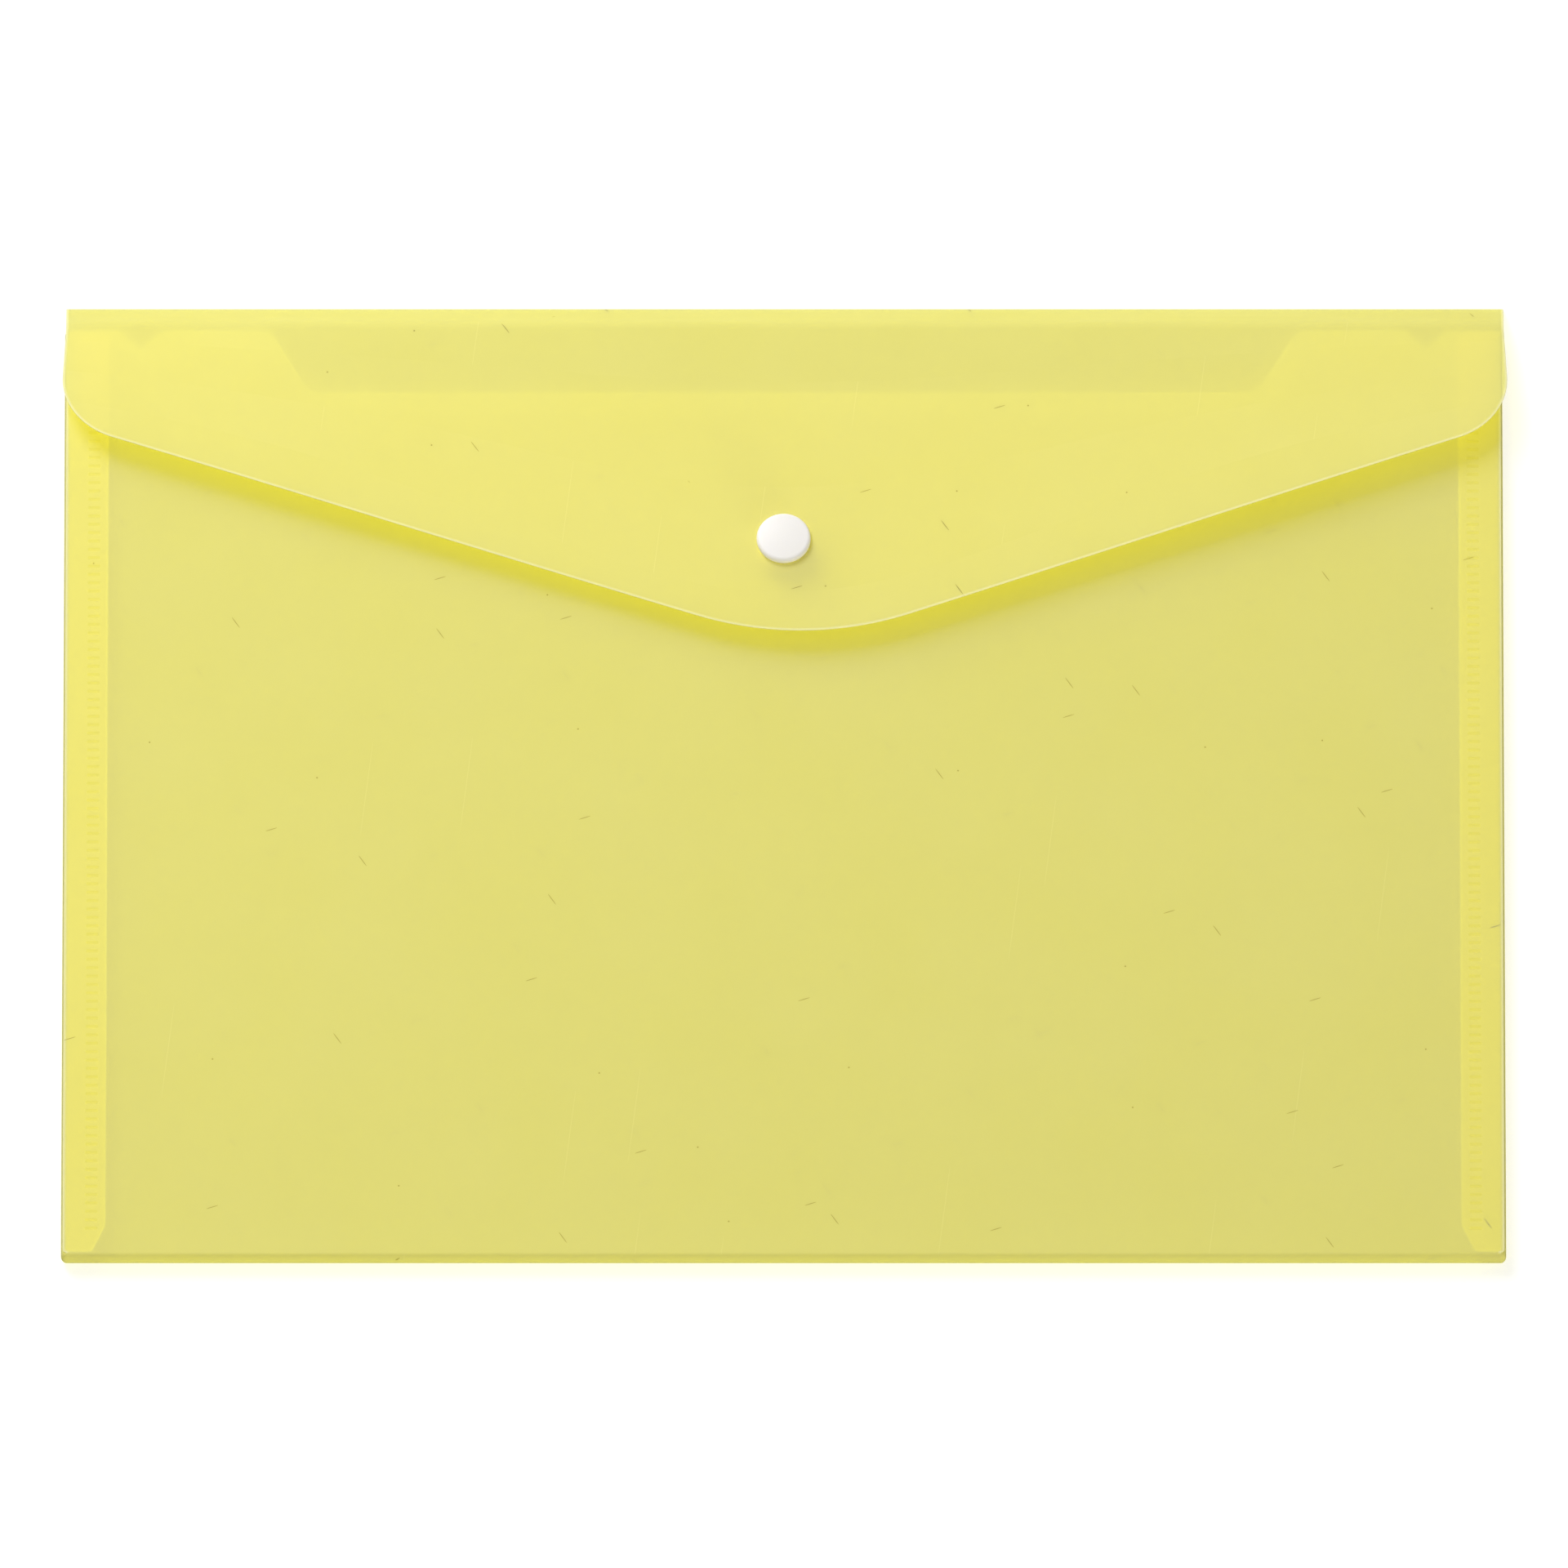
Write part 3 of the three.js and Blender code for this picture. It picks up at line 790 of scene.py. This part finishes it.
def snap():
    clamp = HALF_SHEET + SEAT_GAP
    middle = flap_place(0, SNAP_FROM_CREASE)
    up = Vector((0, math.sin(FLAP_MIDDLE_RISE), math.cos(FLAP_MIDDLE_RISE)))
    tilt = -FLAP_MIDDLE_RISE
    post = 2 * clamp + SOCKET_WEB + SEAT_GAP + RIVET_HEIGHT
    cap = turned("cap_of_flap", cap_profile(post), middle + up * clamp, tilt, "flap", "snap_cap")
    socket_profile = rounded_profile([
        (HOLE_RADIUS, 0, 0),
        (HOLE_RADIUS, -SOCKET_WEB, SMALL_ROUND),
        (SOCKET_BORE, -SOCKET_WEB, SMALL_ROUND),
        (SOCKET_BORE, -SOCKET_HEIGHT, FLANGE_ROUND),
        (SOCKET_RADIUS, -SOCKET_HEIGHT, SOCKET_ROUND),
        (SOCKET_RADIUS, 0, SMALL_ROUND),
    ])
    socket = turned("socket_of_flap", socket_profile, middle - up * clamp, tilt, "flap", "snap_socket")
    top = STUD_FLANGE + STUD_KNOB
    stud_profile = rounded_profile([
        (HOLE_RADIUS, 0, 0),
        (STUD_RADIUS, 0, SMALL_ROUND),
        (STUD_RADIUS, STUD_FLANGE, FLANGE_ROUND),
        (STUD_NECK, STUD_FLANGE, SMALL_ROUND),
        (STUD_NECK, top - STUD_LIP_HEIGHT, NECK_ROUND),
        (STUD_LIP, top - STUD_LIP_HEIGHT / 2, LIP_ROUND),
        (STUD_NECK, top, NECK_ROUND),
        (STUD_RECESS, top, RECESS_ROUND),
        (STUD_RECESS, top - STUD_RECESS_DEPTH, RECESS_ROUND),
        (HOLE_RADIUS, top - STUD_RECESS_DEPTH, 0),
    ])
    foot = Vector((0, SNAP_Y, FRONT_HIGH.z))
    stud = turned("stud_of_panel", stud_profile, foot, 0, "pouch", "snap_stud")
    stud_post = SEAT_GAP + SHEET + top - STUD_RECESS_DEPTH + SEAT_GAP + RIVET_HEIGHT
    under = Vector((0, SNAP_Y, FRONT_LOW.z - SEAT_GAP))
    inner = turned("cap_of_panel", cap_profile(stud_post), under, math.pi, "pouch", "stud_cap")
    return [cap, socket, stud, inner]


# Materials


def new_material(name):
    material = bpy.data.materials.new(name)
    material.use_nodes = True
    material.node_tree.nodes.clear()
    return material, material.node_tree


def feed(tree, socket, value):
    """Sets a socket, or links it to the output of another node."""
    if isinstance(value, bpy.types.NodeSocket):
        tree.links.new(value, socket)
    else:
        socket.default_value = value


def add_node(tree, kind, *values, **sockets):
    """A node whose sockets, in turn or by name, get values or other nodes' outputs."""
    node = tree.nodes.new("ShaderNode" + kind)
    for socket, value in zip(node.inputs, values):
        feed(tree, socket, value)
    for name, value in sockets.items():
        feed(tree, node.inputs[name.replace("_", " ")], value)
    return node


def add_attribute(tree, name):
    node = add_node(tree, "Attribute")
    node.attribute_name = name
    return node.outputs["Fac"]


def add_math(tree, operation, first, second):
    node = add_node(tree, "Math", first, second)
    node.operation = operation
    return node.outputs[0]


def mixed(tree, share, first, second):
    return add_node(tree, "MixShader", share, first, second).outputs[0]


# Looks of the sheet, with lengths in metres
HAZE = (0.905, 0.887, 0.6, 1.0)  # what the matte surface scatters back
TINT = (1.0, 0.987, 0.44, 1.0)  # what one surface lets through
HAZE_SHARE = 0.3
SPREAD_SHARE = 0.15  # what is scattered on its way through
# painted highlight: extra haze along cut edges, standing in for the light a cut edge catches
RIM_HIGHLIGHT_HAZE = 0.4
SHADOW_EASE = 0.65  # how much of the haze and the spread a lamp's light passes by
SHEET_ROUGHNESS = 0.42
SHEET_GLOSS = 0.25
BLUR = 0.24
BLUR_BEND = 1.05  # how strongly the matte surface bends what is seen through it
WELD_HAZE = -0.06
GRAIN_FINENESS = 2600.0
GRAIN_STRENGTH = 0.12
GRAIN_DEPTH = 0.00003

# Wear and dust on the sheet, in metres and radians
CLOUD_SIZE = 0.03
CLOUD_HAZE = 0.05
SCRATCH_HAZE = 0.05
DUST_HAZE = 0.3
DUST = (0.3, 0.27, 0.13, 1.0)
LAYER = 0.0015  # sheets whose heights differ by more than this carry other marks
LAYER_SHIFT = 31.0
SPECKS = {"cell": 0.06, "radius": 0.0002, "stretch": 1, "angle": 0}
HAIRS = {"cell": 0.016, "radius": 0.0001, "stretch": 16, "angle": 0.6}
LINT = {"cell": 0.017, "radius": 0.0001, "stretch": 14, "angle": -1.25}
SCRATCHES = {"cell": 0.006, "radius": 0.00008, "stretch": 150, "angle": -0.12}

# Looks of the snap, with lengths in metres
SNAP_COLOUR = (0.965, 0.93, 0.88, 1.0)
SNAP_ROUGHNESS = 0.38
SNAP_SOFTNESS = 0.15
SNAP_SOFT_COLOUR = (1.0, 1.0, 0.8)
SNAP_SOFT_REACH = 0.001


def marks(tree, place, cell, radius, stretch, angle):
    """1 on scattered marks, one in each cell, round or drawn out in one direction, else 0."""
    turn = add_node(tree, "Mapping", Vector=place, Rotation=(0, 0, angle), Scale=(1, stretch, 1))
    turn.vector_type = "TEXTURE"
    spots = add_node(tree, "TexVoronoi", Vector=turn.outputs[0], Scale=1 / cell)
    spots.voronoi_dimensions = "2D"
    return add_math(tree, "LESS_THAN", spots.outputs["Distance"], radius / cell)


def layered(tree, coordinates):
    """The coordinates, shifted in plan from one layer of the pouch to the next."""
    height = add_node(tree, "SeparateXYZ", Vector=coordinates).outputs["Z"]
    shift = add_math(tree, "MULTIPLY", add_math(tree, "SNAP", height, LAYER), LAYER_SHIFT)
    both = add_node(tree, "CombineXYZ", X=shift, Y=shift)
    return add_node(tree, "VectorMath", coordinates, both.outputs[0]).outputs[0]


def sheet_wear(tree, coordinates):
    """Unevenness, scratches and dust of the sheet, each from 0 to 1."""
    place = layered(tree, coordinates)
    cloud = add_node(tree, "TexNoise", Vector=place, Scale=1 / CLOUD_SIZE, Detail=2.0)
    scratches = marks(tree, place, **SCRATCHES)
    dust = marks(tree, place, **SPECKS)
    for kind in (HAIRS, LINT):
        dust = add_math(tree, "MAXIMUM", dust, marks(tree, place, **kind))
    return cloud.outputs["Fac"], scratches, dust


def passing_light(tree, path, kept):
    """What the sheet lets through: bent a little for the eye, straight for lamps, and partly spread."""
    clear = add_node(tree, "BsdfTransparent", Color=TINT)
    blurred = add_node(tree, "BsdfRefraction", Color=TINT, Roughness=BLUR, IOR=BLUR_BEND)
    straight = add_math(tree, "MAXIMUM", path["Is Shadow Ray"], path["Is Diffuse Ray"])
    through = mixed(tree, straight, blurred.outputs[0], clear.outputs[0])
    spread = add_node(tree, "BsdfTranslucent", Color=TINT)
    share = add_math(tree, "MULTIPLY", kept, SPREAD_SHARE / (1 - HAZE_SHARE))
    return mixed(tree, share, through, spread.outputs[0])


def frosted_sheet():
    material, tree = new_material("frosted_sheet")
    path = add_node(tree, "LightPath").outputs
    coordinates = add_node(tree, "TexCoord").outputs["Object"]
    cloud, scratches, dust = sheet_wear(tree, coordinates)
    grain = add_node(tree, "TexNoise", Vector=coordinates, Scale=GRAIN_FINENESS, Detail=2.0)
    height = grain.outputs["Fac"]
    bump = add_node(tree, "Bump", Strength=GRAIN_STRENGTH, Distance=GRAIN_DEPTH, Height=height)
    colour = add_node(tree, "MixRGB", Fac=dust, Color1=HAZE, Color2=DUST)
    haze = add_node(
        tree,
        "BsdfPrincipled",
        Base_Color=colour.outputs[0],
        Roughness=SHEET_ROUGHNESS,
        Specular_IOR_Level=SHEET_GLOSS,
        Normal=bump.outputs["Normal"],
    )
    kept = add_math(tree, "MULTIPLY", path["Is Shadow Ray"], SHADOW_EASE)
    kept = add_math(tree, "SUBTRACT", 1.0, kept)
    share = HAZE_SHARE - CLOUD_HAZE / 2
    # the rim attribute paints a highlight along cut edges as extra haze
    for amount, factor in (
        (add_attribute(tree, "rim_highlight"), RIM_HIGHLIGHT_HAZE),
        (add_attribute(tree, "weld"), WELD_HAZE),
        (cloud, CLOUD_HAZE),
        (scratches, SCRATCH_HAZE),
        (dust, DUST_HAZE),
    ):
        share = add_math(tree, "ADD", share, add_math(tree, "MULTIPLY", amount, factor))
    share = add_math(tree, "MULTIPLY", share, kept)
    surface = mixed(tree, share, passing_light(tree, path, kept), haze.outputs[0])
    add_node(tree, "OutputMaterial", Surface=surface)
    return material


def snap_plastic():
    material, tree = new_material("snap_plastic")
    plastic = add_node(
        tree,
        "BsdfPrincipled",
        Base_Color=SNAP_COLOUR,
        Roughness=SNAP_ROUGHNESS,
        Subsurface_Weight=SNAP_SOFTNESS,
        Subsurface_Radius=SNAP_SOFT_COLOUR,
        Subsurface_Scale=SNAP_SOFT_REACH,
    )
    add_node(tree, "OutputMaterial", Surface=plastic.outputs[0])
    return material


# Stage, in metres

FLOOR_HALF = 6.0
FLOOR_CELL = 0.25
FLOOR_GAP = 0.05  # in millimetres, under the pouch
FLOOR_ALBEDO = (0.5, 0.5, 0.5, 1.0)
FLOOR_GLOW = 0.6
SEEN_GLOW = 0.06  # what the floor around the pouch gains
GLOW_DEPTH = 2.5  # the glow shows through fewer surfaces than this
KEY_WAY = Vector((-0.6, 0.947, 1.0)).normalized()
KEY_DISTANCE = 2.4
KEY_SIZE = 1.25
KEY_SHARE = 0.55  # of the light that falls on the table
FILL_WAY = Vector((0.5, -1.0, 0.2)).normalized()
FILL_DISTANCE = 3.0
FILL_SIZE = 0.8
FILL_SHARE = 0.055
SKY = 0.34
VIEW_ELEVATION = math.radians(65.85)
VIEW_DISTANCE = 15.96
VIEW_AIM = Vector((0.0001, 0.0, 0.0013))
VIEW_FAR = 100.0
LENS = 1600.0


def background_rays(tree):
    """1 for rays that see the white background, else 0."""
    path = add_node(tree, "LightPath").outputs
    seen = add_math(tree, "MAXIMUM", path["Is Camera Ray"], path["Is Glossy Ray"])
    seen = add_math(tree, "MAXIMUM", seen, path["Is Transmission Ray"])
    seen = add_math(tree, "MULTIPLY", seen, add_math(tree, "SUBTRACT", 1.0, path["Is Diffuse Ray"]))
    near = add_math(tree, "LESS_THAN", path["Transmission Depth"], GLOW_DEPTH)
    return add_math(tree, "MULTIPLY", seen, near)


def floor():
    lines = samples(-FLOOR_HALF / MM, FLOOR_HALF / MM, FLOOR_CELL / MM)
    count = len(lines)
    corners = [(x, y, -FLOOR_GAP) for y in lines for x in lines]
    cells = [
        [k, k + 1, k + count + 1, k + count]
        for row in range(count - 1)
        for k in range(row * count, row * count + count - 1)
    ]
    piece = mesh_object("floor", corners, cells)
    material, tree = new_material("floor")
    matte = add_node(tree, "BsdfDiffuse", Color=FLOOR_ALBEDO)
    camera_ray = add_node(tree, "LightPath").outputs["Is Camera Ray"]
    strength = add_math(tree, "MULTIPLY", background_rays(tree), FLOOR_GLOW)
    strength = add_math(tree, "ADD", strength, add_math(tree, "MULTIPLY", camera_ray, SEEN_GLOW))
    glow = add_node(tree, "Emission", Strength=strength)
    both = add_node(tree, "AddShader", matte.outputs[0], glow.outputs[0])
    add_node(tree, "OutputMaterial", Surface=both.outputs[0])
    piece.data.materials.append(material)


def world():
    surroundings = bpy.data.worlds.new("studio")
    bpy.context.scene.world = surroundings
    surroundings.use_nodes = True
    tree = surroundings.node_tree
    tree.nodes.clear()
    seen = background_rays(tree)
    strength = add_math(tree, "ADD", add_math(tree, "MULTIPLY", seen, 1 - SKY), SKY)
    sky = add_node(tree, "Background", Color=(1, 1, 1, 1), Strength=strength)
    add_node(tree, "OutputWorld", Surface=sky.outputs[0])


def lamp(name, way, distance, size, share):
    """A square lamp that gives its share of a plain level on the table."""
    data = bpy.data.lights.new(name, "AREA")
    data.shape = "SQUARE"
    data.size = size
    data.energy = share * math.pi**2 * distance**2 / way.z
    piece = bpy.data.objects.new(name, data)
    bpy.context.scene.collection.objects.link(piece)
    piece.location = way * distance
    piece.rotation_mode = "QUATERNION"
    piece.rotation_quaternion = way.to_track_quat("Z", "Y")


def camera():
    data = bpy.data.cameras.new("camera")
    data.lens = LENS
    data.clip_end = VIEW_FAR
    viewer = bpy.data.objects.new("camera", data)
    bpy.context.scene.collection.objects.link(viewer)
    way = Vector((0, -math.cos(VIEW_ELEVATION), math.sin(VIEW_ELEVATION)))
    viewer.location = VIEW_AIM + way * VIEW_DISTANCE
    viewer.rotation_mode = "QUATERNION"
    viewer.rotation_quaternion = way.to_track_quat("Z", "Y")
    bpy.context.scene.camera = viewer


camera()
lamp("key", KEY_WAY, KEY_DISTANCE, KEY_SIZE, KEY_SHARE)
lamp("fill", FILL_WAY, FILL_DISTANCE, FILL_SIZE, FILL_SHARE)
world()
floor()
sheet_material = frosted_sheet()
for sheet_piece in (pouch_sheet(), lower_crease_strip(), flap_sheet()):
    sheet_piece.data.materials.append(sheet_material)
plastic_material = snap_plastic()
for plastic_piece in snap():
    plastic_piece.data.materials.append(plastic_material)

scene = bpy.context.scene
scene.view_settings.view_transform = "Standard"
scene.cycles.transparent_max_bounces = 32
scene.cycles.max_bounces = 16
scene.cycles.diffuse_bounces = 8
scene.cycles.glossy_bounces = 8
scene.cycles.transmission_bounces = 14
scene.cycles.use_denoising = True
